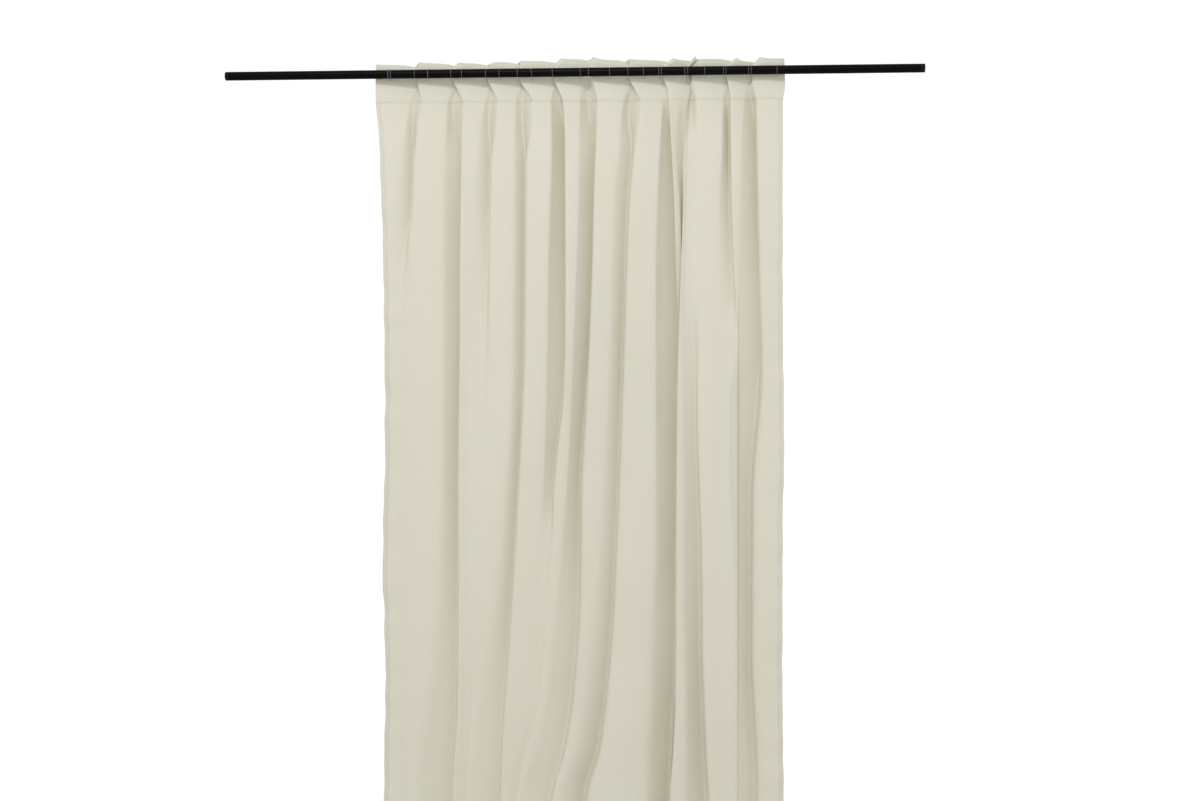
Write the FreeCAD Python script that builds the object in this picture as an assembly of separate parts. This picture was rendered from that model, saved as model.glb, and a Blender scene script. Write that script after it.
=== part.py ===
"""Window curtain on a rod: one gathered panel held by the thread loops of its heading tape.

Millimetres. +X runs along the rod from its left end to its right end, +Z is up, and the cloth
hangs on the +Y side of the rod. The origin is on the rod's axis, in the middle of the left end
seat, which is the collar of the left end cap.
"""
import FreeCAD, Part
import math
import os

# Rod
ROD_LENGTH = 1600.0
ROD_RADIUS = 10.0
TUBE_WALL = 1.0
CAP_COLLAR_LENGTH = 10.0
CAP_EDGE_ROUND = 1.0
SEAM_CHAMFER = 0.3
CAP_PLUG_LENGTH = 22.0
CAP_PLUG_WALL = 1.6
CAP_PLUG_CLEARANCE = 0.15
CAP_RIB_COUNT = 4
CAP_RIB_WIDTH = 1.2

# Curtain, as it hangs
CLOTH_LEFT_EDGE = 344.0
BAY_WIDTHS = (92, 84, 80, 73, 80, 83, 89, 77, 59, 87, 57)
CLOTH_DROP = 2400.0
CLOTH_TOP = 28.0
CLOTH_THICKNESS = 0.8
CLOTH_FRONT = 12.3

# Plan section of a bay: run length and how far the run turns away from the rod
BAY_RUNS = ((60.6, 8.0), (20.0, 30.0), (36.0, 60.0))
LAST_BAY_RUNS = ((60.6, 8.0), (15.6, 20.0))

# Heading tape, sewn to the face of the cloth that lies against the rod
TAPE_TOP = 22.0
TAPE_HEIGHT = 84.0
TAPE_THICKNESS = 0.6

# Thread loops of the heading tape: places along the rod
LOOP_PLACES = (
    375, 381, 436, 467, 520, 545, 600, 631, 673, 705, 753, 817, 836,
    884, 925, 961, 996, 1002, 1055, 1061, 1100, 1142, 1148, 1199, 1205, 1263,
)
THREAD_DIAMETER = 1.1
LOOP_CLEARANCE = 0.3

ROD_LEFT_FACE = -CAP_COLLAR_LENGTH / 2
ROD_RIGHT_FACE = ROD_LEFT_FACE + ROD_LENGTH
X_AXIS = FreeCAD.Vector(1, 0, 0)


def export(shape, node):
    """Write one closed solid to the file named after its node."""
    if not shape.isValid() or len(shape.Solids) != 1:
        raise ValueError(f"{node} is not one valid solid")
    shape.Solids[0].exportStep(f"parts/{node}.step")


def rod_cylinder(radius, start, length):
    """Cylinder on the rod's axis."""
    return Part.makeCylinder(radius, length, FreeCAD.Vector(start, 0, 0), X_AXIS)


def circles_at(shape, place, radius):
    """Circular edges of a given radius in the plane X = place."""
    found = []
    for edge in shape.Edges:
        is_circle = isinstance(edge.Curve, Part.Circle)
        if is_circle and abs(edge.CenterOfMass.x - place) < 1e-6 and abs(edge.Curve.Radius - radius) < 1e-6:
            found.append(edge)
    return found


def rod_tube():
    """Steel tube between the two end caps, its ends broken by a small chamfer."""
    start = ROD_LEFT_FACE + CAP_COLLAR_LENGTH
    length = ROD_LENGTH - 2 * CAP_COLLAR_LENGTH
    outside = rod_cylinder(ROD_RADIUS, start, length)
    rims = circles_at(outside, start, ROD_RADIUS) + circles_at(outside, start + length, ROD_RADIUS)
    outside = outside.makeChamfer(SEAM_CHAMFER, rims)
    return outside.cut(rod_cylinder(ROD_RADIUS - TUBE_WALL, start - 1, length + 2))


def end_cap():
    """Left end cap: a collar flush with the tube, and a hollow ribbed plug inside it."""
    seam = ROD_LEFT_FACE + CAP_COLLAR_LENGTH
    collar = rod_cylinder(ROD_RADIUS, ROD_LEFT_FACE, CAP_COLLAR_LENGTH)
    collar = collar.makeFillet(CAP_EDGE_ROUND, circles_at(collar, ROD_LEFT_FACE, ROD_RADIUS))
    collar = collar.makeChamfer(SEAM_CHAMFER, circles_at(collar, seam, ROD_RADIUS))
    bore_radius = ROD_RADIUS - TUBE_WALL
    plug_radius = bore_radius - 3 * CAP_PLUG_CLEARANCE
    rib_reach = bore_radius - CAP_PLUG_CLEARANCE
    cap = collar.fuse(rod_cylinder(plug_radius, seam, CAP_PLUG_LENGTH))
    for index in range(CAP_RIB_COUNT):
        rib = Part.makeBox(
            CAP_PLUG_LENGTH,
            rib_reach,
            CAP_RIB_WIDTH,
            FreeCAD.Vector(seam, 0, -CAP_RIB_WIDTH / 2),
        )
        rib.rotate(FreeCAD.Vector(0, 0, 0), X_AXIS, index * 360 / CAP_RIB_COUNT)
        cap = cap.fuse(rib)
    hollow = rod_cylinder(plug_radius - CAP_PLUG_WALL, seam, CAP_PLUG_LENGTH + 1)
    return cap.cut(hollow).removeSplitter()


def mirrored_end_cap():
    """Right end cap, the left one turned end for end."""
    cap = end_cap()
    middle = FreeCAD.Vector((ROD_LEFT_FACE + ROD_RIGHT_FACE) / 2, 0, 0)
    return cap.mirror(middle, X_AXIS)


def run_points(runs, left):
    """Corner points, in plan, of the face of a bay that looks at the rod."""
    points = [FreeCAD.Vector(left, CLOTH_FRONT, 0)]
    for length, turn in runs:
        angle = math.radians(turn)
        points.append(points[-1] + FreeCAD.Vector(length * math.cos(angle), length * math.sin(angle), 0))
    return points


def offset_points(points, runs, distance):
    """The same corner points moved away from the rod, with mitred corners."""
    angles = [math.radians(turn) for _, turn in runs]
    before = [angles[0]] + angles
    after = angles + [angles[-1]]
    moved = []
    for point, first, second in zip(points, before, after):
        middle = (first + second) / 2
        reach = distance / math.cos((second - first) / 2)
        moved.append(point + FreeCAD.Vector(-reach * math.sin(middle), reach * math.cos(middle), 0))
    return moved


def upright_strip(runs, left, near, far, bottom, height):
    """Strip that stands on a bay's plan section, between two distances from its rod face."""
    points = run_points(runs, left)
    outline = offset_points(points, runs, near) + offset_points(points, runs, far)[::-1]
    face = Part.Face(Part.makePolygon(outline + outline[:1]))
    face.translate(FreeCAD.Vector(0, 0, bottom))
    return face.extrude(FreeCAD.Vector(0, 0, height))


def bay_places():
    """Left edge of each bay: the curtain's own edge, then each pleat."""
    places = [CLOTH_LEFT_EDGE]
    for width in BAY_WIDTHS:
        places.append(places[-1] + width)
    return places


def thread_loop(place):
    """One closed turn of thread round the rod."""
    ring_radius = ROD_RADIUS + LOOP_CLEARANCE + THREAD_DIAMETER / 2
    return Part.makeTorus(ring_radius, THREAD_DIAMETER / 2, FreeCAD.Vector(place, 0, 0), X_AXIS)


os.makedirs("parts", exist_ok=True)

export(rod_tube(), "rod_tube")
export(end_cap(), "end_cap_left")
export(mirrored_end_cap(), "end_cap_right")

last_bay = len(BAY_WIDTHS) + 1
for number, left in enumerate(bay_places(), start=1):
    runs = LAST_BAY_RUNS if number == last_bay else BAY_RUNS
    cloth = upright_strip(runs, left, 0, CLOTH_THICKNESS, CLOTH_TOP - CLOTH_DROP, CLOTH_DROP)
    tape = upright_strip(runs, left, -TAPE_THICKNESS, 0, TAPE_TOP - TAPE_HEIGHT, TAPE_HEIGHT)
    export(cloth, f"cloth_bay_{number:02d}")
    export(tape, f"heading_tape_{number:02d}")

for number, place in enumerate(LOOP_PLACES, start=1):
    export(thread_loop(place), f"thread_loop_{number:02d}")
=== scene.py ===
"""Looks of the gathered curtain on its rod: cloth, heading tape, loops, hems and stitching.

Metres, in the frame of the CAD model: +X along the rod, +Z up, the rod's axis on the X axis and
the viewer on the -Y side. Fold lines are written in millimetres: how far below the rod's axis
(drop), and how far along the rod from the fold's own pleat.
"""

import math
from collections import namedtuple

import bpy
import numpy as np
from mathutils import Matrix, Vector


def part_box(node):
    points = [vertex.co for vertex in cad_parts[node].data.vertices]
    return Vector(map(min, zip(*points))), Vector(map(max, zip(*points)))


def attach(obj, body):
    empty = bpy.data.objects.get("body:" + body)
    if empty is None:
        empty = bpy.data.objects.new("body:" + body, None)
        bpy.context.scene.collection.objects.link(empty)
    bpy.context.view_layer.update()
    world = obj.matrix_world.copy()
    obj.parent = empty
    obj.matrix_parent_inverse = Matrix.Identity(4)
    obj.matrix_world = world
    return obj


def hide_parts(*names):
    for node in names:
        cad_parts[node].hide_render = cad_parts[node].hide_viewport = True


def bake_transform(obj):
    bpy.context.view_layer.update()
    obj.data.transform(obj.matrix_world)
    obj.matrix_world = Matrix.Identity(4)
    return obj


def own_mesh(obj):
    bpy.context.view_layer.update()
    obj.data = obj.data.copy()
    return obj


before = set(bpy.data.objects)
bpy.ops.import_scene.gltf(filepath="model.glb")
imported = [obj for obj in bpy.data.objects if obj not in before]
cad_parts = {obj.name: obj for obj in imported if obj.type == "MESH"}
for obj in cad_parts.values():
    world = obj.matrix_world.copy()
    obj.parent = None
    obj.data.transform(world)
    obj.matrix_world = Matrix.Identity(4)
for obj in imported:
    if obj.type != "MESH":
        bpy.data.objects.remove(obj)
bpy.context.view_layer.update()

MM = 0.001
SEED = 11

# ------------------------------------------------------------------------------ driving sizes
FLAT_WIDTH = 1.40
FLAT_LENGTH = 2.40
SIDE_HEM = 0.011
BOTTOM_HEM = 0.050
LAYER_GAP = 0.0007

ROD_LOW, ROD_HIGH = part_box("rod_tube")
ROD_RADIUS = ROD_HIGH.z
BAY_COUNT = sum(1 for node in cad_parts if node.startswith("cloth_bay_"))
LOOP_COUNT = sum(1 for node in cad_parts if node.startswith("thread_loop_"))
BAY_NODES = [f"cloth_bay_{k:02d}" for k in range(1, BAY_COUNT + 1)]
TAPE_NODES = [f"heading_tape_{k:02d}" for k in range(1, BAY_COUNT + 1)]
LOOP_NODES = [f"thread_loop_{k:02d}" for k in range(1, LOOP_COUNT + 1)]
PLEATS = [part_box(node)[0].x for node in BAY_NODES[1:]]
CLOTH_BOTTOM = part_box(BAY_NODES[0])[0].z
TAPE_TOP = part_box(TAPE_NODES[0])[1].z
TAPE_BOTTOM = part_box(TAPE_NODES[0])[0].z
HEM_DROP = -CLOTH_BOTTOM / MM
LOOP_PLACES = [(low.x + high.x) / 2 for low, high in (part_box(node) for node in LOOP_NODES)]

# --------------------------------------------------------------------------------- fold lines
# pleat: the pleat that the fold starts at; top: how far to the right its ear leans; shoulder:
# where the panel on the left turns back; valley: the deepest line; edge: where the cloth is
# forward again; depth: how far the valley is behind the edge; walls: how the left and right
# walls go back, under 1 at once, over 1 gradually; crisp: how sharp its corners are, 0 to 1;
# soft: how rounded the edge is, high up and low down; tuck: the drop where the valley goes under
# the edge; back: how far the edge stays behind the other panels.
FOLD_FIELDS = "pleat top shoulder valley edge depth walls crisp soft tuck back"
Fold = namedtuple("Fold", FOLD_FIELDS, defaults=(((0, 0),),))

FOLDS = (
    Fold(
        0, 7,
        shoulder=((66, -19), (107, -24), (176, -34), (290, -44), (450, -58), (2372, -58)),
        valley=((66, -8), (176, -14), (290, -21), (450, -36), (2372, -40)),
        edge=((66, 14), (107, 6), (176, 4), (290, 5), (450, -8), (2372, -14)),
        depth=((66, 15), (176, 22), (290, 22), (405, 12), (500, 7), (800, 4), (2372, 6)),
        walls=(1.5, 1.3), crisp=0.5, soft=(1, 1), tuck=150,
    ),
    Fold(
        1, 15,
        shoulder=((66, -12), (290, -18), (976, -19), (1205, -26), (1434, -48), (1640, -72),
                  (2372, -90)),
        valley=((66, 0), (519, 3), (862, 3), (1091, -3), (1205, -10), (1434, -14), (1640, -21),
                (2372, -34)),
        edge=((66, 25), (176, 22), (519, 19), (976, 20), (1205, 25), (1434, 24), (1640, 11),
              (2372, -2)),
        depth=((66, 18), (176, 24), (405, 28), (862, 26), (1205, 24), (1434, 21), (1640, 20),
               (2372, 20)),
        walls=(0.8, 0.8), crisp=0.6, soft=(0.1, 0.5), tuck=150,
    ),
    Fold(
        2, 10,
        shoulder=((66, -8), (176, -22), (405, -34), (633, -40), (1434, -50), (1640, -62),
                  (2372, -70)),
        valley=((66, 5), (290, -2), (519, -4), (748, -9), (1000, -20), (1434, -40), (1640, -52),
                (2372, -60)),
        edge=((66, 26), (176, 21), (405, 17), (519, 13), (748, 10), (1000, 0), (1434, -28),
              (1640, -40), (2372, -50)),
        depth=((66, 18), (176, 24), (290, 22), (405, 16), (519, 11), (748, 5), (1000, 3),
               (2372, 6)),
        walls=(1.4, 1.4), crisp=0.5, soft=(1, 1), tuck=150,
    ),
    Fold(
        3, 6,
        shoulder=((66, -8), (405, -10), (748, -14), (976, -28), (1205, -48), (1434, -80),
                  (1640, -94), (2372, -104)),
        valley=((66, 6), (633, 6), (862, -3), (1091, -17), (1320, -35), (1548, -50), (1640, -54),
                (2372, -70)),
        edge=((66, 34), (176, 31), (633, 25), (976, 10), (1205, 0), (1434, -14), (1640, -24),
              (2372, -38)),
        depth=((66, 20), (176, 25), (633, 23), (862, 22), (1205, 20), (1434, 16), (1640, 13),
               (2372, 14)),
        walls=(1.1, 1.4), crisp=0.6, soft=(1, 1), tuck=150,
    ),
    Fold(
        4, 17,
        shoulder=((66, -5), (176, -3), (405, -9), (748, -14), (976, -22), (1091, -30), (1434, -44),
                  (1640, -92), (1780, -103), (2372, -110)),
        valley=((66, 10), (176, 14), (290, 9), (633, 7), (748, 3), (976, -9), (1091, -14),
                (1434, -38), (1640, -86), (1780, -97), (2372, -105)),
        edge=((66, 23), (176, 27), (519, 29), (748, 29), (862, 20), (976, 11), (1091, 0),
              (1434, -32), (1640, -80), (1780, -92), (2372, -100)),
        depth=((66, 22), (176, 33), (405, 33), (633, 30), (862, 24), (976, 15), (1091, 6),
               (1300, 3), (2372, 5)),
        walls=(0.7, 0.7), crisp=0.85, soft=(0, 1), tuck=60,
    ),
    Fold(
        5, 9,
        shoulder=((66, -22), (290, -24), (519, -31), (748, -40), (976, -52), (1205, -70),
                  (1434, -94), (1548, -116), (1640, -148), (1780, -164), (2372, -174)),
        valley=((66, -3), (290, -6), (519, -14), (748, -24), (976, -37), (1205, -40), (1434, -56),
                (1548, -70), (1640, -98), (1780, -115), (2372, -128)),
        edge=((66, 18), (290, 11), (405, 9), (748, -1), (976, 2), (1205, 0), (1434, -17),
              (1548, -40), (1640, -63), (1780, -80), (2372, -92)),
        depth=((66, 24), (290, 30), (748, 31), (976, 29), (1205, 26), (1434, 22), (1640, 18),
               (2372, 18)),
        walls=(0.9, 0.8), crisp=0.8, soft=(0.1, 1), tuck=110,
    ),
    Fold(
        6, 4,
        shoulder=((66, -12), (176, -21), (290, -32), (633, -40), (862, -51), (1205, -71),
                  (1434, -94), (1548, -116), (1640, -144), (1780, -160), (2372, -170)),
        valley=((66, 2), (176, -5), (290, -12), (633, -23), (862, -32), (1205, -44), (1434, -67),
                (1548, -87), (1640, -117), (1780, -131), (2372, -142)),
        edge=((66, 28), (176, 28), (290, 16), (519, 7), (862, -3), (1091, -14), (1320, -25),
              (1548, -44), (1640, -67), (1780, -84), (2372, -100)),
        depth=((66, 22), (176, 26), (633, 26), (1091, 23), (1434, 25), (1640, 29), (2372, 24)),
        walls=(1.1, 1.2), crisp=0.6, soft=(0.9, 0.9), tuck=130,
    ),
    Fold(
        7, 26,
        shoulder=((42, 3), (154, -3), (294, -9), (482, -13), (1105, -11), (1205, -16), (1434, -22),
                  (1548, -29), (1660, -32), (2372, -45)),
        valley=((42, 8), (154, 10), (294, 17), (482, 24), (1105, 20), (1323, 16), (1660, 2),
                (2372, -10)),
        edge=((42, 13), (154, 21), (294, 28), (482, 34), (622, 38), (812, 40), (1105, 36),
              (1323, 34), (1660, 18), (2372, 6)),
        depth=((42, 10), (107, 19), (154, 24), (294, 29), (482, 31), (622, 26), (1434, 22),
               (2372, 20)),
        walls=(0.7, 0.6), crisp=0.9, soft=(0, 0.2), tuck=60,
        back=((66, 0), (300, 3), (482, 10), (622, 18), (2372, 20)),
    ),
    Fold(
        8, 18,
        shoulder=((25, 2), (73, -18), (178, -26), (294, -18), (436, -14), (622, -17), (1105, -21),
                  (1323, -23), (1659, -38), (2372, -48)),
        valley=((25, 20), (73, -7), (178, -13), (294, -6), (436, -4), (622, -8), (1105, -12),
                (1323, -14), (1659, -28), (2372, -38)),
        edge=((25, 5), (72, 0), (178, -8), (294, -12), (436, -19), (622, -26), (743, -29),
              (1105, -32), (1434, -33), (1548, -38), (1659, -47), (2372, -60)),
        depth=((25, 9), (107, 14), (178, 15), (436, 20), (622, 24), (1105, 20), (2372, 16)),
        walls=(0.9, 0.8), crisp=0.9, soft=(0.5, 0.5), tuck=120,
    ),
    Fold(
        8, 40,
        shoulder=((66, 3), (107, 2), (176, 0), (748, -8), (976, -6), (1205, -6), (1434, -2),
                  (1640, -2), (2372, -8)),
        valley=((66, 9), (107, 10), (633, 8), (862, 10), (976, 14), (1091, 18), (1320, 18),
                (1434, 21), (1640, 28), (2372, 34)),
        edge=((66, 20), (176, 26), (748, 36), (976, 42), (1205, 48), (1320, 49), (1434, 54),
              (1548, 59), (1640, 67), (2372, 88)),
        depth=((66, 12), (107, 9), (176, 3), (500, 5), (633, 12), (862, 18), (1091, 24),
               (1640, 28), (2372, 26)),
        walls=(0.8, 1.1), crisp=0.8, soft=(1, 1), tuck=120,
    ),
    Fold(
        9, 25,
        shoulder=((66, -7), (176, -9), (290, -14), (519, -11), (1100, -16), (2372, -4)),
        valley=((66, 2), (290, 0), (405, 6), (519, 12), (700, 12), (2372, 12)),
        edge=((66, 14), (176, 21), (405, 27), (700, 28), (2372, 26)),
        depth=((66, 17), (107, 24), (176, 26), (290, 22), (405, 17), (519, 12), (590, 6),
               (1000, 4), (2372, 6)),
        walls=(1.1, 1.2), crisp=0.8, soft=(1, 1), tuck=60,
    ),
    Fold(
        10, 20,
        shoulder=((28, -8), (73, -16), (176, -21), (519, -26), (633, -32), (748, -50), (976, -46),
                  (1205, -38), (1640, -34), (2372, -34)),
        valley=((28, -4), (73, -1), (290, 2), (519, 0), (748, -10), (1320, -14), (1548, -4),
                (2372, -2)),
        edge=((28, 3), (73, 12), (176, 14), (519, 22), (748, 30), (976, 18), (1320, 16),
              (1548, 26), (1640, 30), (2372, 26)),
        depth=((28, 12), (73, 22), (176, 26), (405, 25), (519, 23), (748, 26), (1091, 25),
               (1434, 20), (1640, 18), (2372, 18)),
        walls=(1, 0.8), crisp=0.8, soft=(0.1, 0.9), tuck=60,
    ),
)
# The fold that starts below the rod, and the one that stands open at the rod
EXTRA_FOLD = 9
OPEN_FOLD = 5

# Height of the cloth's top edge over the rod's axis: at the middle of each panel, at each
# fold's ear, and just left of each fold
CRESTS = (25.5, 27.7, 26.7, 29.0, 30.4, 34.0, 31.0, 29.5, 28.5, 30.5, 30.5, 23.5, 28.9)
EARS = (30.3, 29.1, 25.9, 31.1, 35.4, 38.6, 32.1, 34.1, 38.9, 29.5, 33.0, 33.9)
DIPS = (20.5, 22.5, 23.0, 25.5, 26.5, 31.5, 28.0, 26.0, 26.5, 30.0, 26.0, 22.0)

# x of the free side edges
LEFT_EDGE = ((-25, 343), (29, 342), (86, 346), (155, 351), (337, 359), (520, 364), (862, 367),
             (1100, 362), (1386, 369), (1569, 366), (2372, 362))
RIGHT_EDGE = ((-23, 1281), (29, 1282), (64, 1278), (520, 1276), (862, 1279), (1022, 1276),
              (1386, 1275), (1569, 1277), (2372, 1281))

# y of the panels' left edges from the rod's axis, how much further back their right edges are,
# and how far the middle of a wide panel stands forward
FRONT = ((-30, 12.6), (66, 12.6), (250, 7), (700, 0), (1400, -5), (2372, -8))
RECEDE = ((-30, 14), (66, 12), (200, 6), (2372, 4))
BULGE = ((-30, 0.5), (66, 1.0), (300, 4), (900, 6), (2372, 8))
PANEL_WIDTH = 0.07
# How far the last panel's free edge is behind (+) or in front of (-) the panel's start
RIGHT_CURL = ((-30, 6), (66, 5), (250, -3), (520, -8), (2372, -6))
# How far the cloth just left of a fold's edge stays behind it, in the gathered heading
LIP = ((-30, 3), (20, 4), (62, 4), (84, 0), (2372, 0))
# How many times deeper the folds are than their own keys say
DEEPEN = ((-30, 1.2), (50, 1.3), (90, 1.6), (200, 1.4), (862, 1.4), (1250, 1.5), (1640, 1.8),
          (2372, 1.8))

# Depths at which a fold starts to be crisp and tucked under, and at which it is so fully
SHALLOW, DEEP = 8, 22
# Crispness, 0 to 1: in the heading, along the valleys, at the free sides and along the top edge
HEADING_CRISP = 0.9
VALLEY_CRISP = ((-30, 0.9), (20, 0.9), (50, 0.6), (80, 0.7), (120, 1))
SIDE_CRISP = 0.5
TOP_CRISP = 0.9
# Drops where a fold has the heading's crispness (the first two), its own and its lower one
CRISP_DROPS = (-30, 40, 120, 800, 1400)
# Shares of its own crispness that a fold has low down, and where it is shallow
LOWER_CRISP = 0.5
SHALLOW_CRISP = 0.3
# How much less crisp a soft fold's valley is, and the middle of a panel
SOFT_VALLEY = 0.15
PANEL_SOFTENING = 0.6
# Drops between which a fold's upper softness becomes its lower one
SOFT_CHANGE = (600, 950)
# How far above and below its tuck drop a valley moves under the edge, and what share of the way
# it moves. On a soft fold it moves less, and the edge is drawn back by a share of the way too.
TUCK_ABOVE, TUCK_BELOW = 40, 60
UNDER_EDGE = 0.85
SOFT_UNDER_EDGE = 0.10
EDGE_ROUNDING = 0.5
# Creases along the valleys of the folds that are crisp high up
CREASE_FROM, CREASE_TO = 80.0, 700.0
SOFT_FROM = 0.3

# The mesh: columns of each panel and wall, how much closer they are at their ends, and the rows
PANEL_STEPS = 18
WALL_STEPS = 14
PANEL_CLOSER = 0.7
WALL_CLOSER = 1.2
TOP_ROW = 30.0
HEADING_END, HEADING_STEP = 90, 4.0
BODY_ROWS = 200
LAST_ROWS_HEIGHT, LAST_ROWS = 60, 9
# The shape of a panel's top edge between two ears: the lower, the wider its crest
CREST_WIDTH = 0.45
# How often corners are rounded, and how much each time where the cloth isn't crisp
SMOOTH_PASSES = 20
SMOOTH_RATE = 0.48

# Waves in the hanging cloth, in metres: their height, their lengths down and across, and the
# drop that they start at and the one over which they grow
WAVE_COUNT = 9
WAVE_HEIGHT = 0.0013
WAVE_DROP = (0.25, 0.9)
WAVE_ACROSS = (0.10, 0.45)
WAVE_FROM, WAVE_FADE = 0.08, 0.35
# Shorter ones along the free side edges: how far they reach into the cloth, and how much of them
# goes sideways
EDGE_WAVE_COUNT = 4
EDGE_WAVE_HEIGHT = 0.0022
EDGE_WAVE_DROP = (0.07, 0.19)
EDGE_WAVE_REACH = 0.035
EDGE_WAVE_SIDEWAYS = 0.30
EDGE_WAVE_FADE = 0.05
# A wave up and down near the bottom hem, and a dent along each side hem's inner edge
HEM_WAVE = 0.0016
HEM_WAVE_REACH, HEM_WAVE_FADE = 0.45, 0.42
HEM_WAVE_LENGTH = 0.31
HEM_WAVE_PHASE = 1.0
HEM_CREASE = 0.0004
HEM_CREASE_WIDTH = 0.0025


def keyed(keys, drops):
    """Values at some drops, from (drop, value) keys, with smooth turns and no overshoot."""
    known = np.array([k[0] for k in keys], float)
    value = np.array([k[1] for k in keys], float)
    if len(known) == 1:
        return np.full(len(drops), value[0])
    step = np.diff(known)
    slope = np.diff(value) / step
    tangent = np.zeros(len(known))
    for i in range(1, len(known) - 1):
        if slope[i - 1] * slope[i] > 0:
            first, second = 2 * step[i] + step[i - 1], step[i] + 2 * step[i - 1]
            tangent[i] = (first + second) / (first / slope[i - 1] + second / slope[i])
    at = np.clip(drops, known[0], known[-1])
    i = np.clip(np.searchsorted(known, at, side="right") - 1, 0, len(step) - 1)
    t = (at - known[i]) / step[i]
    ease = t * t * (3 - 2 * t)
    return (
        value[i] * (1 - ease)
        + value[i + 1] * ease
        + step[i] * tangent[i] * t * (1 - t) ** 2
        - step[i] * tangent[i + 1] * t * t * (1 - t)
    )


def heading_keys(fold, index):
    """First keys of a fold's shoulder, valley, edge and depth, in the gathered heading."""
    if index == EXTRA_FOLD:
        return (
            ((-30, 22), (-8, 8), (20, 6)),
            ((-30, 25), (-8, 12), (20, 10)),
            ((-30, 29), (-8, 17), (20, 16)),
            ((-30, 0), (20, 0), (45, 9)),
        )
    if index == OPEN_FOLD:
        return (
            ((-30, fold.top - 14), (-10, -11)),
            ((-30, fold.top - 5), (-10, 1)),
            ((-30, fold.top), (-10, 1)),
            ((-30, 12), (-10, 13)),
        )
    return (
        ((-30, fold.top - 12), (-8, 3), (15, 3)),
        ((-30, fold.top - 7), (-8, 15), (15, 15)),
        ((-30, fold.top), (-8, 0), (5, 0)),
        ((-30, 12), (-8, 14), (15, 14)),
    )


def fold_lines(fold, index, drops):
    """x of a fold's shoulder, valley and edge, its depth, their crispness and its set-back."""
    own_keys = (fold.shoulder, fold.valley, fold.edge, fold.depth)
    shoulder, valley, edge, depth = (
        keyed(head + tuple(key for key in own if key[0] > head[-1][0]), drops)
        for head, own in zip(heading_keys(fold, index), own_keys)
    )
    pleat = PLEATS[fold.pleat]
    shoulder, valley, edge = (pleat + MM * line for line in (shoulder, valley, edge))
    depth = MM * keyed(DEEPEN, drops) * depth
    deep = np.clip((depth / MM - SHALLOW) / (DEEP - SHALLOW), 0, 1)
    crisps = (HEADING_CRISP, HEADING_CRISP, fold.crisp, fold.crisp, LOWER_CRISP * fold.crisp)
    crisp = keyed(tuple(zip(CRISP_DROPS, crisps)), drops)
    crisp = crisp * (SHALLOW_CRISP + (1 - SHALLOW_CRISP) * deep)
    soft = keyed(tuple(zip(SOFT_CHANGE, fold.soft)), drops)
    tucked = deep * keyed(((fold.tuck - TUCK_ABOVE, 0), (fold.tuck + TUCK_BELOW, 1)), drops)
    edge = edge - EDGE_ROUNDING * soft * tucked * (edge - valley)
    valley = valley + (UNDER_EDGE - SOFT_UNDER_EDGE * soft) * tucked * (edge - valley)
    valley_crisp = keyed(VALLEY_CRISP, drops) * (1 - SOFT_VALLEY * soft)
    edge_crisp = crisp * (1 - soft * tucked)
    back = MM * keyed(fold.back, drops)
    return shoulder, valley, edge, depth, crisp, valley_crisp, edge_crisp, back


def row_drops():
    """Drops of the mesh's rows: close together at the heading and the hem, wider between."""
    heading = np.arange(-TOP_ROW, HEADING_END, HEADING_STEP)
    body = np.linspace(HEADING_END, HEM_DROP - LAST_ROWS_HEIGHT, BODY_ROWS)
    hem = np.linspace(HEM_DROP - LAST_ROWS_HEIGHT, HEM_DROP, LAST_ROWS)[1:]
    return np.concatenate([heading, body, hem])


def smoothed(values, crisp):
    """Rounds each row's corners: a lot where the cloth is soft, hardly at a crisp fold."""
    rate = SMOOTH_RATE * (1 - crisp)
    for _ in range(SMOOTH_PASSES):
        turn = values[:, :-2] - 2 * values[:, 1:-1] + values[:, 2:]
        values[:, 1:-1] += rate[:, 1:-1] * turn
    return values


def waves(draw, across, down):
    """Low waves forward and back, the same on each run, for cloth that never hangs quite flat."""
    total = np.zeros_like(across)
    for _ in range(WAVE_COUNT):
        run = 2 * math.pi / draw.uniform(*WAVE_DROP)
        side = draw.choice((-1, 1)) * 2 * math.pi / draw.uniform(*WAVE_ACROSS)
        total += np.sin(down * run + across * side + draw.uniform(0, 2 * math.pi))
    return total * WAVE_HEIGHT / math.sqrt(WAVE_COUNT)


def edge_waves(draw, distance, down):
    """Shorter waves that only the free side edges have, dying away into the cloth."""
    total = np.zeros_like(distance)
    for _ in range(EDGE_WAVE_COUNT):
        run = 2 * math.pi / draw.uniform(*EDGE_WAVE_DROP)
        total += np.sin(down * run + draw.uniform(0, 2 * math.pi))
    height = EDGE_WAVE_HEIGHT / math.sqrt(EDGE_WAVE_COUNT)
    return total * height * np.exp(-distance / EDGE_WAVE_REACH)


def panel_spread(s):
    """Places across a panel, closer together towards its two ends."""
    return s - PANEL_CLOSER * math.sin(2 * math.pi * s) / (2 * math.pi)


def wall_start_spread(s):
    """Places across a wall, closer together towards its start."""
    return s ** WALL_CLOSER


def wall_end_spread(s):
    """Places across a wall, closer together towards its end."""
    return 1 - (1 - s) ** WALL_CLOSER


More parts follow.
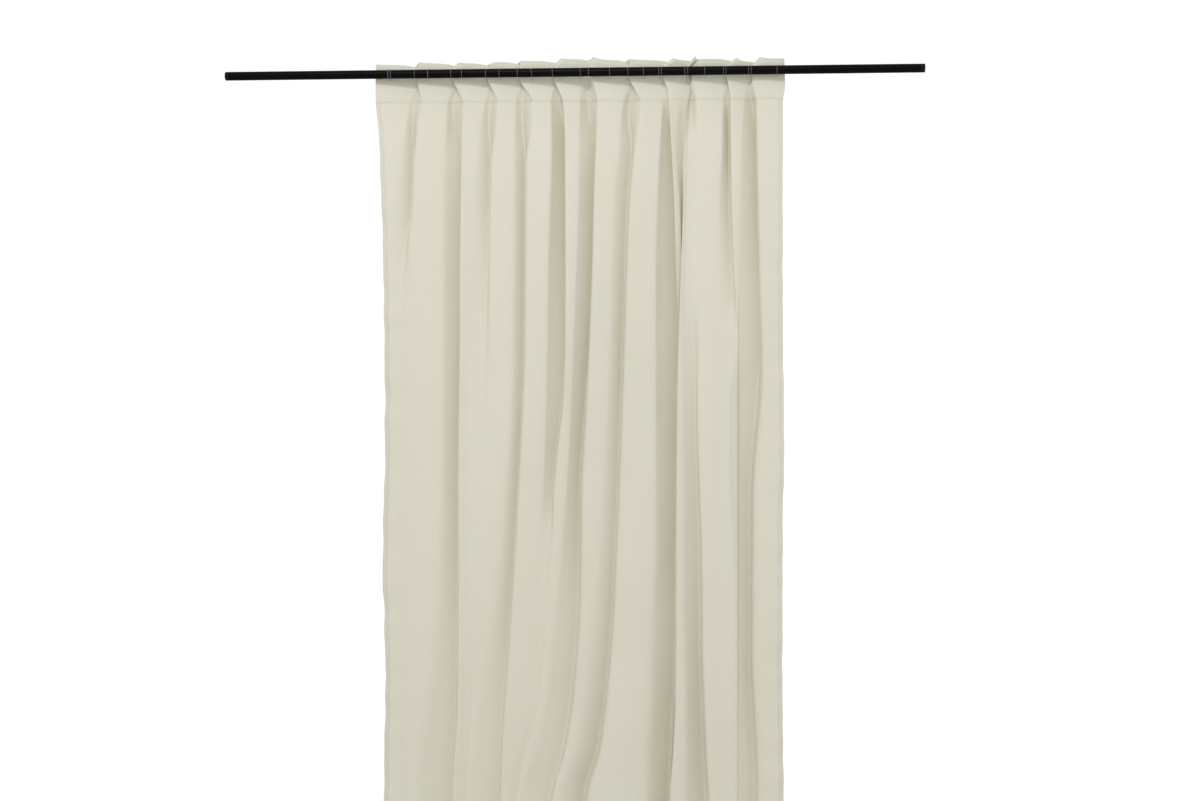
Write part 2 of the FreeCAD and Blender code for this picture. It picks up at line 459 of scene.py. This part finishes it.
def cloth_grid():
    """x, y, z of the hung cloth in rows and columns: panels, and folds going back between them."""
    drops = row_drops()
    front = MM * keyed(FRONT, drops)
    recede = MM * keyed(RECEDE, drops)
    bulge = MM * keyed(BULGE, drops)
    lip = MM * keyed(LIP, drops)
    even = np.full(len(drops), SIDE_CRISP)
    x_now, y_now, crisp_now, top_now = MM * keyed(LEFT_EDGE, drops), front, even, CRESTS[0]
    columns = []

    def add(count, spread, x_next, y_next, crisp_next, top_next, rise, crest=None):
        """Columns from here to the next line; rise(t) is how far y has got at a share t."""
        width = np.clip((x_next - x_now) / PANEL_WIDTH, 0, 1)
        for s in np.arange(count) / count:
            t = spread(s)
            arch = math.sin(math.pi * t)
            x = x_now * (1 - t) + x_next * t
            y = y_now + (y_next - y_now) * rise(t)
            crisp = crisp_now * (1 - t) + crisp_next * t
            top = top_now * (1 - t) + top_next * t
            if crest is not None:
                y = y - bulge * width * arch
                crisp = crisp * (1 - PANEL_SOFTENING * arch)
                top = top + (crest - top) * arch ** CREST_WIDTH
            columns.append((x, y, crisp, top))

    for index, fold in enumerate(FOLDS):
        lines = fold_lines(fold, index, drops)
        shoulder, valley, edge, depth, crisp, valley_crisp, edge_crisp, back = lines
        left, right = fold.walls
        edge_y = front + back
        dip, ear, crest = DIPS[index], EARS[index], CRESTS[index]
        steps = (
            (PANEL_STEPS, panel_spread, shoulder, y_now + recede, crisp, dip,
             lambda t: t, crest),
            (WALL_STEPS, wall_start_spread, valley, edge_y + depth, valley_crisp, (dip + ear) / 2,
             lambda t: t ** left, None),
            (WALL_STEPS, wall_end_spread, edge, edge_y + lip, edge_crisp, ear,
             lambda t: 1 - (1 - t) ** right, None),
        )
        for step in steps:
            add(*step)
            x_now, y_now, crisp_now, top_now = step[2:6]
        y_now = edge_y
    x_last, y_last = MM * keyed(RIGHT_EDGE, drops), y_now + MM * keyed(RIGHT_CURL, drops)
    last = (x_last, y_last, even, CRESTS[-1])
    add(PANEL_STEPS, panel_spread, *last, lambda t: t ** 2, CRESTS[-1])
    columns.append(last)

    x, y, crisp = (np.array([column[k] for column in columns]).T for k in range(3))
    crisp = np.clip(crisp, 0, 1)
    x = smoothed(x, crisp)
    y = smoothed(y, crisp)
    tops = MM * np.array([[column[3] for column in columns]])
    top = smoothed(tops, np.full(tops.shape, TOP_CRISP))[0]
    z = -MM * np.repeat(drops[:, None], x.shape[1], axis=1)
    above = np.clip(drops / -TOP_ROW, 0, 1)[:, None]
    z = np.where(z > 0, above * top[None, :], z)
    return x, y, z, drops


def arc_lengths(points):
    """Distance along each row from the left edge."""
    step = np.linalg.norm(np.diff(points, axis=1), axis=2)
    return np.concatenate([np.zeros((len(points), 1)), np.cumsum(step, axis=1)], axis=1)


def rippled(points, drops):
    """The cloth with its waves, which fade out towards the gathered heading."""
    draw = np.random.default_rng(SEED)
    arc = arc_lengths(points)
    from_right = arc[:, -1:] - arc
    down = MM * np.repeat(drops[:, None], points.shape[1], axis=1)
    free = np.clip((down - WAVE_FROM) / WAVE_FADE, 0, 1)
    total = waves(draw, arc, down)
    left = edge_waves(draw, arc, down)
    right = edge_waves(draw, from_right, down)
    points = points.copy()
    points[:, :, 1] += free * (total + left + right)
    for distance in (arc, from_right):
        across = (distance - SIDE_HEM) / HEM_CREASE_WIDTH
        points[:, :, 1] += HEM_CREASE * np.exp(-(across ** 2))
    side = np.clip(down / EDGE_WAVE_FADE, 0, 1) * EDGE_WAVE_SIDEWAYS
    points[:, :, 0] += side * (left - right)
    near_hem = np.clip((down - (FLAT_LENGTH - HEM_WAVE_REACH)) / HEM_WAVE_FADE, 0, 1) ** 2
    hem_wave = np.sin(arc * 2 * math.pi / HEM_WAVE_LENGTH + HEM_WAVE_PHASE)
    points[:, :, 2] += HEM_WAVE * near_hem * hem_wave
    return points


def normals_of(points):
    """Unit normals of the grid, towards the viewer's side."""
    across = np.gradient(points, axis=1)
    down = np.gradient(points, axis=0)
    normal = np.cross(down, across)
    return normal / np.maximum(np.linalg.norm(normal, axis=2, keepdims=True), 1e-12)


x, y, z, DROPS = cloth_grid()
CLOTH = rippled(np.stack([x, y, z], axis=2), DROPS)
NORMALS = normals_of(CLOTH)
ARCS = arc_lengths(CLOTH)
ROWS, COLUMNS = ARCS.shape
CLOTH_U = ARCS.mean(axis=0) * FLAT_WIDTH / ARCS.mean(axis=0)[-1]


def on_cloth(row, column, lift):
    """Points on the cloth at fractional rows and columns, lifted off it towards the viewer."""
    row, column = np.broadcast_arrays(np.asarray(row, float), np.asarray(column, float))
    r = np.clip(row.astype(int), 0, ROWS - 2)
    c = np.clip(column.astype(int), 0, COLUMNS - 2)
    fr, fc = (row - r)[..., None], (column - c)[..., None]

    def mixed(grid):
        return (
            grid[r, c] * (1 - fr) * (1 - fc)
            + grid[r + 1, c] * fr * (1 - fc)
            + grid[r, c + 1] * (1 - fr) * fc
            + grid[r + 1, c + 1] * fr * fc
        )

    return mixed(CLOTH) + np.asarray(lift)[..., None] * mixed(NORMALS)


def column_at(distance, row, from_right=False):
    """The fractional column at a distance along a row from the cloth's left or right edge."""
    arc = ARCS[row]
    if from_right:
        distance = arc[-1] - distance
    return np.interp(distance, arc, np.arange(COLUMNS))


def row_at(drop):
    """The fractional row at a drop in metres."""
    return np.interp(drop / MM, DROPS, np.arange(ROWS))


def new_object(name, points, faces, body, material, uvs=None):
    """A smooth-shaded mesh piece that rides on a body and takes its finish from a slot."""
    mesh = bpy.data.meshes.new(name)
    mesh.from_pydata([tuple(p) for p in points], [], [tuple(f) for f in faces])
    mesh.polygons.foreach_set("use_smooth", [True] * len(mesh.polygons))
    if uvs is not None:
        layer = mesh.uv_layers.new(name="cloth")
        corners = np.zeros(len(mesh.loops), int)
        mesh.loops.foreach_get("vertex_index", corners)
        layer.data.foreach_set("uv", np.asarray(uvs, float)[corners].ravel())
    mesh.materials.append(material)
    piece = bpy.data.objects.new(name, mesh)
    bpy.context.scene.collection.objects.link(piece)
    if body:
        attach(piece, body)
    return piece


def grid_faces(rows, columns):
    """Four-sided faces of a grid of points, row by row."""
    r, c = np.meshgrid(np.arange(rows - 1), np.arange(columns - 1), indexing="ij")
    first = (r * columns + c).ravel()
    return np.stack([first, first + columns, first + columns + 1, first + 1], axis=1)


def strip(name, row, column, lift, material):
    """A layer of cloth lying on the curtain, from rows by columns of places on it."""
    points = on_cloth(row, column, np.full(row.shape, lift))
    faces = grid_faces(*row.shape)
    u = np.interp(column, np.arange(COLUMNS), CLOTH_U)
    v = np.interp(row, np.arange(ROWS), MM * DROPS)
    uvs = np.stack([u, v], axis=2).reshape(-1, 2)
    return new_object(name, points.reshape(-1, 3), faces, "bay_01", material, uvs)


# ---------------------------------------------------------------------------------- materials
CLOTH_LIGHT = (0.740, 0.727, 0.650, 1)
CLOTH_DEEP = (0.700, 0.685, 0.600, 1)
CLOTH_GLOW = (0.66, 0.57, 0.28, 1)
TAPE_LIGHT = (0.728, 0.712, 0.618, 1)
TAPE_DEEP = (0.694, 0.676, 0.574, 1)
LOOP_LIGHT = (0.38, 0.37, 0.33, 1)
LOOP_DEEP = (0.27, 0.26, 0.23, 1)
SEAM_LIGHT = (0.755, 0.735, 0.632, 1)
SEAM_DEEP = (0.69, 0.668, 0.555, 1)
ROD_BASE = (0.0014, 0.0014, 0.0015, 1)
ROD_WORN = (0.003, 0.003, 0.0033, 1)
CAP_BASE = (0.005, 0.005, 0.005, 1)
CAP_WORN = (0.011, 0.011, 0.011, 1)
FLOOR_DEEP = (0.71, 0.69, 0.64, 1)
FLOOR_LIGHT = (0.76, 0.74, 0.69, 1)

# How often the patterns repeat, per metre: along and down the cloth, along and across the rod
BROAD_SCALE = (3.0, 0.9, 1)
WARP_SCALE = (900, 12, 1)
WEFT_SCALE = (9, 700, 1)
CREASE_SCALE = (11, 5, 1)
SCUFF_SCALE = (4, 260, 260)

YARN = 0.0006
TAPE_YARN = 0.0009
TAPE_RIB = 0.0042


class Nodes:
    """A material's node tree, with short ways to add and link nodes."""

    def __init__(self, name):
        self.material = bpy.data.materials.new(name)
        self.material.use_nodes = True
        self.tree = self.material.node_tree
        self.shader = self.tree.nodes["Principled BSDF"]
        self.output = self.tree.nodes["Material Output"]

    def add(self, kind, inputs=None, **settings):
        node = self.tree.nodes.new(kind)
        for key, value in settings.items():
            setattr(node, key, value)
        for key, value in (inputs or {}).items():
            if isinstance(value, bpy.types.NodeSocket):
                self.tree.links.new(value, node.inputs[key])
            else:
                node.inputs[key].default_value = value
        return node

    def math(self, operation, *values):
        return self.add("ShaderNodeMath", dict(enumerate(values)), operation=operation).outputs[0]

    def link(self, output, name):
        """Links an output to one of the shader's inputs."""
        self.tree.links.new(output, self.shader.inputs[name])

    def cloth_uv(self):
        return self.add("ShaderNodeUVMap", uv_map="cloth").outputs["UV"]

    def place(self):
        return self.add("ShaderNodeTexCoord").outputs["Object"]

    def parts(self, vector):
        return self.add("ShaderNodeSeparateXYZ", {"Vector": vector}).outputs

    def scaled(self, vector, scale):
        return self.add("ShaderNodeMapping", {"Vector": vector, "Scale": scale}).outputs["Vector"]

    def noise(self, vector, scale=1.0, detail=2.0, roughness=0.5):
        inputs = {"Vector": vector, "Scale": scale, "Detail": detail, "Roughness": roughness}
        return self.add("ShaderNodeTexNoise", inputs).outputs["Fac"]

    def mixed(self, first, second, share):
        """A mix of two values, with a share of the first and the rest of the second."""
        first = self.math("MULTIPLY", first, share)
        return self.math("ADD", first, self.math("MULTIPLY", second, 1 - share))

    def bump(self, height, strength, distance, normal=None):
        inputs = {"Height": height, "Strength": strength, "Distance": distance}
        if normal is not None:
            inputs["Normal"] = normal
        return self.add("ShaderNodeBump", inputs).outputs["Normal"]

    def ramp(self, factor, low, high):
        """A colour between those of two (position, colour) stops."""
        node = self.add("ShaderNodeValToRGB", {"Fac": factor})
        elements = node.color_ramp.elements
        elements[0].position, elements[0].color = low
        elements[1].position, elements[1].color = high
        return node.outputs["Color"]

    def set(self, **values):
        for key, value in values.items():
            self.shader.inputs[key.replace("_", " ")].default_value = value


def weave(nodes, uv, yarn):
    """Height of a plain weave, 0 to 1: warp and weft yarns, each over the other in turn."""
    parts = nodes.parts(uv)
    across = nodes.math("SINE", nodes.math("MULTIPLY", parts["X"], math.pi / yarn))
    down = nodes.math("SINE", nodes.math("MULTIPLY", parts["Y"], math.pi / yarn))
    return nodes.math("MULTIPLY_ADD", nodes.math("MULTIPLY", across, down), 0.5, 0.5)


def cloth_material(name, light, deep, glow_share, yarn, sheen, rib=None):
    """Woven cotton-like cloth that lets some light through."""
    nodes = Nodes(name)
    uv = nodes.cloth_uv()
    broad = nodes.noise(nodes.scaled(uv, BROAD_SCALE), detail=3.0)
    warp = nodes.noise(nodes.scaled(uv, WARP_SCALE), roughness=0.6)
    weft = nodes.noise(nodes.scaled(uv, WEFT_SCALE), roughness=0.6)
    yarns = nodes.math("MULTIPLY", nodes.math("ADD", warp, weft), 0.5)
    tint = nodes.mixed(broad, yarns, 0.45)
    nodes.link(nodes.ramp(tint, (0.36, deep), (0.64, light)), "Base Color")
    nodes.link(nodes.math("MULTIPLY_ADD", yarns, 0.12, 0.80), "Roughness")
    nodes.set(Specular_IOR_Level=0.18, Sheen_Weight=sheen, Sheen_Roughness=0.45)
    normal = nodes.bump(weave(nodes, uv, yarn), strength=0.35, distance=0.0002)
    normal = nodes.bump(yarns, strength=0.5, distance=0.0004, normal=normal)
    crease = nodes.noise(nodes.scaled(uv, CREASE_SCALE), detail=4.0, roughness=0.62)
    normal = nodes.bump(crease, strength=0.35, distance=0.006, normal=normal)
    if rib:
        across = nodes.math("MULTIPLY", nodes.parts(uv)["Y"], 2 * math.pi / rib)
        ribs = nodes.math("SINE", across)
        normal = nodes.bump(ribs, strength=0.4, distance=0.0003, normal=normal)
    nodes.link(normal, "Normal")
    through = nodes.add("ShaderNodeBsdfTranslucent", {"Color": CLOTH_GLOW, "Normal": normal})
    shares = {0: glow_share, 1: nodes.shader.outputs[0], 2: through.outputs[0]}
    mix = nodes.add("ShaderNodeMixShader", shares)
    nodes.tree.links.new(mix.outputs[0], nodes.output.inputs["Surface"])
    return nodes.material


def thread_material(name, light, deep, twist):
    """Spun sewing thread: fine slanting plies and a slight sheen."""
    nodes = Nodes(name)
    inputs = {"Vector": nodes.place(), "Scale": twist, "Distortion": 1.5, "Detail": 1.0}
    plies = nodes.add("ShaderNodeTexWave", inputs, bands_direction="DIAGONAL").outputs["Fac"]
    nodes.link(nodes.ramp(plies, (0.2, deep), (0.8, light)), "Base Color")
    nodes.set(Roughness=0.55, Specular_IOR_Level=0.3, Sheen_Weight=0.3)
    nodes.link(nodes.bump(plies, strength=0.5, distance=0.0001), "Normal")
    return nodes.material


def black_material(name, base, worn, roughness, grain):
    """Satin black paint or plastic: fine orange peel, slight dulling and a little dust."""
    nodes = Nodes(name)
    place = nodes.place()
    patches = nodes.noise(place, scale=14.0, detail=4.0)
    peel = nodes.noise(place, scale=grain, roughness=0.6)
    scuffs = nodes.noise(nodes.scaled(place, SCUFF_SCALE), detail=3.0, roughness=0.7)
    wear = nodes.mixed(patches, scuffs, 0.5)
    nodes.link(nodes.ramp(wear, (0.42, base), (0.72, worn)), "Base Color")
    nodes.link(nodes.math("MULTIPLY_ADD", patches, 0.16, roughness - 0.08), "Roughness")
    nodes.set(Specular_IOR_Level=0.06)
    nodes.link(nodes.bump(peel, strength=0.25, distance=0.0003), "Normal")
    return nodes.material


def floor_material():
    """Pale floor with a faint mottle."""
    nodes = Nodes("floor_pale")
    mottle = nodes.noise(nodes.place(), scale=1.3, detail=4.0)
    nodes.link(nodes.ramp(mottle, (0.3, FLOOR_DEEP), (0.7, FLOOR_LIGHT)), "Base Color")
    nodes.set(Roughness=0.7)
    return nodes.material


cloth = cloth_material(
    "cream_cloth", CLOTH_LIGHT, CLOTH_DEEP, glow_share=0.12, yarn=YARN, sheen=0.15
)
tape_cloth = cloth_material(
    "heading_tape_cloth", TAPE_LIGHT, TAPE_DEEP, glow_share=0.02, yarn=TAPE_YARN, sheen=0.1,
    rib=TAPE_RIB,
)
hem_cloth = cloth_material(
    "hem_cloth", CLOTH_LIGHT, CLOTH_DEEP, glow_share=0.40, yarn=YARN, sheen=0.15
)
loop_thread = thread_material("loop_thread", LOOP_LIGHT, LOOP_DEEP, twist=900)
seam_thread = thread_material("seam_thread", SEAM_LIGHT, SEAM_DEEP, twist=1200)
rod_black = black_material("satin_black_paint", ROD_BASE, ROD_WORN, roughness=0.36, grain=900)
cap_black = black_material("moulded_black_plastic", CAP_BASE, CAP_WORN, roughness=0.46, grain=1600)

for node, material in (
    ("rod_tube", rod_black), ("end_cap_left", cap_black), ("end_cap_right", cap_black)
):
    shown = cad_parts[node]
    shown.data.materials.clear()
    shown.data.materials.append(material)

# -------------------------------------------------------------------------- the cloth's layers
TAPE_ROWS = 22
# How far the tape stops short of the side edges, in columns, and the bottom hem short of the
# last row, in rows
TAPE_TRIM = 0.2
HEM_TRIM = 0.02
HEM_ROWS = 9
SIDE_HEM_COLUMNS = 6
SIDE_HEM_START = 0.0002

every_row = np.arange(ROWS)
every_column = np.arange(COLUMNS)

faces = grid_faces(ROWS, COLUMNS)
uvs = np.stack(np.meshgrid(CLOTH_U, MM * DROPS), axis=2).reshape(-1, 2)
curtain = new_object("curtain", CLOTH.reshape(-1, 3), faces, "bay_01", cloth, uvs)
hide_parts(*BAY_NODES)

# The cloth turns sharply along the valley of each crisp fold, from under the tape down to where
# the fold becomes softer
fold_columns = PANEL_STEPS + 2 * WALL_STEPS
valleys = [
    PANEL_STEPS + WALL_STEPS + k * fold_columns
    for k, fold in enumerate(FOLDS)
    if fold.soft[0] <= SOFT_FROM
]
ends = np.zeros(2 * len(curtain.data.edges), int)
curtain.data.edges.foreach_get("vertices", ends)
upper_end, lower_end = np.sort(ends.reshape(-1, 2), axis=1).T
creased = (
    (lower_end - upper_end == COLUMNS)
    & np.isin(upper_end % COLUMNS, valleys)
    & (DROPS[upper_end // COLUMNS] > CREASE_FROM)
    & (DROPS[upper_end // COLUMNS] < CREASE_TO)
)
sharp = curtain.data.attributes.new("sharp_edge", "BOOLEAN", "EDGE")
sharp.data.foreach_set("value", creased)

tape_rows = np.linspace(row_at(-TAPE_TOP), row_at(-TAPE_BOTTOM), TAPE_ROWS)
tape_columns = np.linspace(TAPE_TRIM, COLUMNS - 1 - TAPE_TRIM, COLUMNS)
tape_row, tape_column = np.meshgrid(tape_rows, tape_columns, indexing="ij")
tape = strip("heading_band", tape_row, tape_column, LAYER_GAP, tape_cloth)
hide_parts(*TAPE_NODES)

side_hems = []
for name, from_right in (("hem_left", False), ("hem_right", True)):
    distances = np.linspace(SIDE_HEM_START, SIDE_HEM, SIDE_HEM_COLUMNS)
    columns = np.array([column_at(distances, r, from_right) for r in every_row])
    rows = np.repeat(every_row[:, None], len(distances), axis=1)
    side_hems.append(strip(name, rows, columns, -LAYER_GAP, hem_cloth))

hem_rows = np.linspace(row_at(-CLOTH_BOTTOM - BOTTOM_HEM), ROWS - 1 - HEM_TRIM, HEM_ROWS)
hem_row, hem_column = np.meshgrid(hem_rows, every_column, indexing="ij")
bottom_hem = strip("hem_bottom", hem_row, hem_column, -2 * LAYER_GAP, hem_cloth)

# ----------------------------------------------------------------------------------- stitching
STITCH_PITCH = 0.0034
STITCH_LENGTH = 0.0025
STITCH_RADIUS = 0.00022
# A stitch from end to end: places along it, as shares of its length, and height over the cloth
STITCH_PLACES = (0, 0.25, 0.75, 1)
STITCH_HEIGHTS = (-0.0002, 0.00035, 0.00035, -0.0002)
STITCH_RING = ((1, 0), (0, 1), (-1, 0), (0, -1))
# How far inside its layer's edge each seam runs
SIDE_SEAM = 0.0015
HEM_SEAM = 0.002
TAPE_SEAM = 0.004


def tube_faces(rings, sides, first=0):
    """Faces of a tube, closed at both ends, from rings of points one after another."""
    faces = []
    for k in range(rings - 1):
        for j in range(sides):
            a, b = first + k * sides + j, first + k * sides + (j + 1) % sides
            faces.append((a, b, b + sides, a + sides))
    faces.append(tuple(first + j for j in reversed(range(sides))))
    faces.append(tuple(first + (rings - 1) * sides + j for j in range(sides)))
    return faces


def stitch_row(name, row, column, lift=0):
    """A row of stitches along a line of places on the cloth."""
    line = on_cloth(row, column, 0)
    length = np.concatenate([[0], np.cumsum(np.linalg.norm(np.diff(line, axis=0), axis=1))])
    starts = np.arange(STITCH_PITCH, length[-1] - STITCH_PITCH, STITCH_PITCH)
    points, faces = [], []
    for start in starts:
        at = start + STITCH_LENGTH * np.array(STITCH_PLACES)
        r = np.interp(at, length, row)
        c = np.interp(at, length, column)
        base = on_cloth(r, c, lift + np.array(STITCH_HEIGHTS))
        out = on_cloth(r, c, 1.0) - on_cloth(r, c, 0.0)
        run = np.gradient(base, axis=0)
        side = np.cross(run, out)
        side /= np.linalg.norm(side, axis=1, keepdims=True)
        out /= np.linalg.norm(out, axis=1, keepdims=True)
        faces += tube_faces(len(at), len(STITCH_RING), len(points))
        for k in range(len(at)):
            points += [base[k] + STITCH_RADIUS * (a * side[k] + b * out[k]) for a, b in STITCH_RING]
    return new_object(name, points, faces, "bay_01", seam_thread)


stitches = []
for name, from_right in (("stitches_left", False), ("stitches_right", True)):
    columns = np.array([column_at(SIDE_HEM - SIDE_SEAM, r, from_right) for r in every_row])
    stitches.append(stitch_row(name, every_row.astype(float), columns))
for name, drop, lift in (
    ("stitches_hem", -CLOTH_BOTTOM - BOTTOM_HEM + HEM_SEAM, 0),
    ("stitches_tape_top", -TAPE_TOP + TAPE_SEAM, LAYER_GAP),
    ("stitches_tape_bottom", -TAPE_BOTTOM - TAPE_SEAM, LAYER_GAP),
):
    line_rows = np.full(COLUMNS, row_at(drop))
    stitches.append(stitch_row(name, line_rows, every_column.astype(float), lift))

# ---------------------------------------------------------------------------- the thread loops
LOOP_THREAD_RADIUS = 0.00022
LOOP_THREAD_RADIUS_THICK = 0.00032
THICK_LOOPS = (1, 2, 4)
ROD_GAP = 0.00008
LOOP_HEIGHT = 0.0145
LOOP_END_DEPTH = 0.0012
ARC_STEPS = 26
RUN_STEPS = 6
TUBE_SIDES = 8
CLOTH_REACH = 0.003
# How far the top of a loop is to the left of its foot, by the loop's number
LOOP_SLANTS = {
    5: 0.001, 8: -0.001, 10: 0.006, 11: 0.005, 12: 0.005, 14: 0.004, 15: 0.005, 17: 0.001,
    19: 0.004, 20: 0.004,
}


def cloth_front(x_place, z_place):
    """y of the cloth's front-most layer at a place along the rod."""
    line = on_cloth(np.full(COLUMNS, row_at(-z_place)), every_column, LAYER_GAP)
    away = np.abs(line[:, 0] - x_place)
    near = away < CLOTH_REACH
    return float(line[near, 1].min() if near.any() else line[away.argmin(), 1])


def loop_path(place, slant, radius):
    """Points from the cloth above the rod, round the rod's front, back to the cloth below it."""
    around = ROD_RADIUS + ROD_GAP + radius
    upper_x, lower_x = place - slant / 2, place + slant / 2
    y_up, z_up = cloth_front(upper_x, LOOP_HEIGHT), LOOP_HEIGHT
    y_down, z_down = cloth_front(lower_x, -LOOP_HEIGHT), -LOOP_HEIGHT
    touch_up = math.atan2(z_up, y_up) + math.acos(around / math.hypot(y_up, z_up))
    touch_down = math.atan2(z_down, y_down) - math.acos(around / math.hypot(y_down, z_down))
    turns = np.linspace(touch_up, touch_down + 2 * math.pi, ARC_STEPS)
    arc = [(around * math.cos(a), around * math.sin(a)) for a in turns]

    def run(start, end):
        """Places on a straight run, with both its ends."""
        (y0, z0), (y1, z1) = start, end
        return [(y0 + (y1 - y0) * t, z0 + (z1 - z0) * t) for t in np.linspace(0, 1, RUN_STEPS)]

    first = [(y_up + LOOP_END_DEPTH, z_up)] + run((y_up, z_up), arc[0])[:-1]
    last = run(arc[-1], (y_down, z_down))[1:] + [(y_down + LOOP_END_DEPTH, z_down)]
    flat = np.array(first + arc + last)
    along = np.concatenate([[0], np.cumsum(np.linalg.norm(np.diff(flat, axis=0), axis=1))])
    x_line = np.interp(along / along[-1], [0, 1], [upper_x, lower_x])
    return np.column_stack([x_line, flat])


def tube_points(path, radius):
    """Points of a round tube along a path that keeps near one plane across X."""
    tangent = np.gradient(path, axis=0)
    tangent /= np.linalg.norm(tangent, axis=1, keepdims=True)
    side = np.array([1.0, 0, 0]) - tangent[:, :1] * tangent
    side /= np.linalg.norm(side, axis=1, keepdims=True)
    up = np.cross(tangent, side)
    turn = 2 * math.pi * np.arange(TUBE_SIDES)[None, :, None] / TUBE_SIDES
    ring = np.cos(turn) * side[:, None, :] + np.sin(turn) * up[:, None, :]
    return (path[:, None, :] + radius * ring).reshape(-1, 3)


for number, (node, place) in enumerate(zip(LOOP_NODES, LOOP_PLACES), start=1):
    radius = LOOP_THREAD_RADIUS_THICK if number in THICK_LOOPS else LOOP_THREAD_RADIUS
    path = loop_path(place, LOOP_SLANTS.get(number, 0.0), radius)
    points, faces = tube_points(path, radius), tube_faces(len(path), TUBE_SIDES)
    body = None if number == 1 else f"loop_{number:02d}"
    name = f"loop_thread_{number:02d}"
    loop = new_object(name, points, faces, body, loop_thread)
    if number == 1:
        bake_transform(loop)
    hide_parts(node)

# --------------------------------------------------------------------------- a mesh of its own for each piece
for piece in (curtain, tape, *side_hems, bottom_hem, *stitches):
    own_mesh(piece)

# ----------------------------------------------------------------------------------- the stage
SENSOR = 36.0
LENS = 52.6
CAMERA_PLACE = (1.1143, -3.9878, -0.7489)
CAMERA_YAW = math.radians(3.626)
FLOOR_GAP = 0.07
FLOOR_BACK = 2.4
FLOOR_SIZE = 9.0
BACKDROP = 1.05
AMBIENT = 0.82
WHITE = (1, 1, 1, 1)


def add_camera():
    """The camera at the photograph's angle, level and turned a little to the left."""
    data = bpy.data.cameras.new("camera")
    data.sensor_width = SENSOR
    data.lens = LENS
    camera = bpy.data.objects.new("camera", data)
    camera.location = CAMERA_PLACE
    camera.rotation_euler = (math.pi / 2, 0, CAMERA_YAW)
    bpy.context.scene.collection.objects.link(camera)
    bpy.context.scene.camera = camera


def add_area(name, location, target, size, power):
    """A soft rectangular light that faces a target."""
    data = bpy.data.lights.new(name, "AREA")
    data.shape = "RECTANGLE"
    data.size, data.size_y = size
    data.energy = power
    light = bpy.data.objects.new(name, data)
    light.location = location
    to_target = Vector(target) - Vector(location)
    light.rotation_euler = to_target.to_track_quat("-Z", "Y").to_euler()
    bpy.context.scene.collection.objects.link(light)


def add_world():
    """White to the eye, and a dimmer even light on the object."""
    world = bpy.data.worlds.new("studio")
    bpy.context.scene.world = world
    world.use_nodes = True
    tree = world.node_tree
    backdrop = tree.nodes["Background"]
    ambient = tree.nodes.new("ShaderNodeBackground")
    for background, strength in ((backdrop, BACKDROP), (ambient, AMBIENT)):
        background.inputs["Color"].default_value = WHITE
        background.inputs["Strength"].default_value = strength
    path = tree.nodes.new("ShaderNodeLightPath")
    mix = tree.nodes.new("ShaderNodeMixShader")
    tree.links.new(path.outputs["Is Camera Ray"], mix.inputs[0])
    tree.links.new(ambient.outputs[0], mix.inputs[1])
    tree.links.new(backdrop.outputs[0], mix.inputs[2])
    tree.links.new(mix.outputs[0], tree.nodes["World Output"].inputs["Surface"])


def add_floor():
    """A pale floor a little under the cloth, which hangs clear of it."""
    middle = (ROD_LOW.x + ROD_HIGH.x) / 2
    left, right = middle - FLOOR_SIZE / 2, middle + FLOOR_SIZE / 2
    near, back = FLOOR_BACK - FLOOR_SIZE, FLOOR_BACK
    level = CLOTH_BOTTOM - FLOOR_GAP
    corners = [(left, near, level), (right, near, level), (right, back, level), (left, back, level)]
    mesh = bpy.data.meshes.new("floor")
    mesh.from_pydata(corners, [], [(0, 1, 2, 3)])
    mesh.materials.append(floor_material())
    floor = bpy.data.objects.new("floor", mesh)
    bpy.context.scene.collection.objects.link(floor)


add_camera()
add_world()
add_floor()
add_area("key", (0.45, -2.6, 1.7), target=(0.85, 0, -0.7), size=(0.8, 0.5), power=35)
add_area("fill", (1.4, -3.2, -0.9), target=(0.85, 0, -1.1), size=(2.4, 2.4), power=4)
bpy.context.scene.view_settings.view_transform = "Standard"
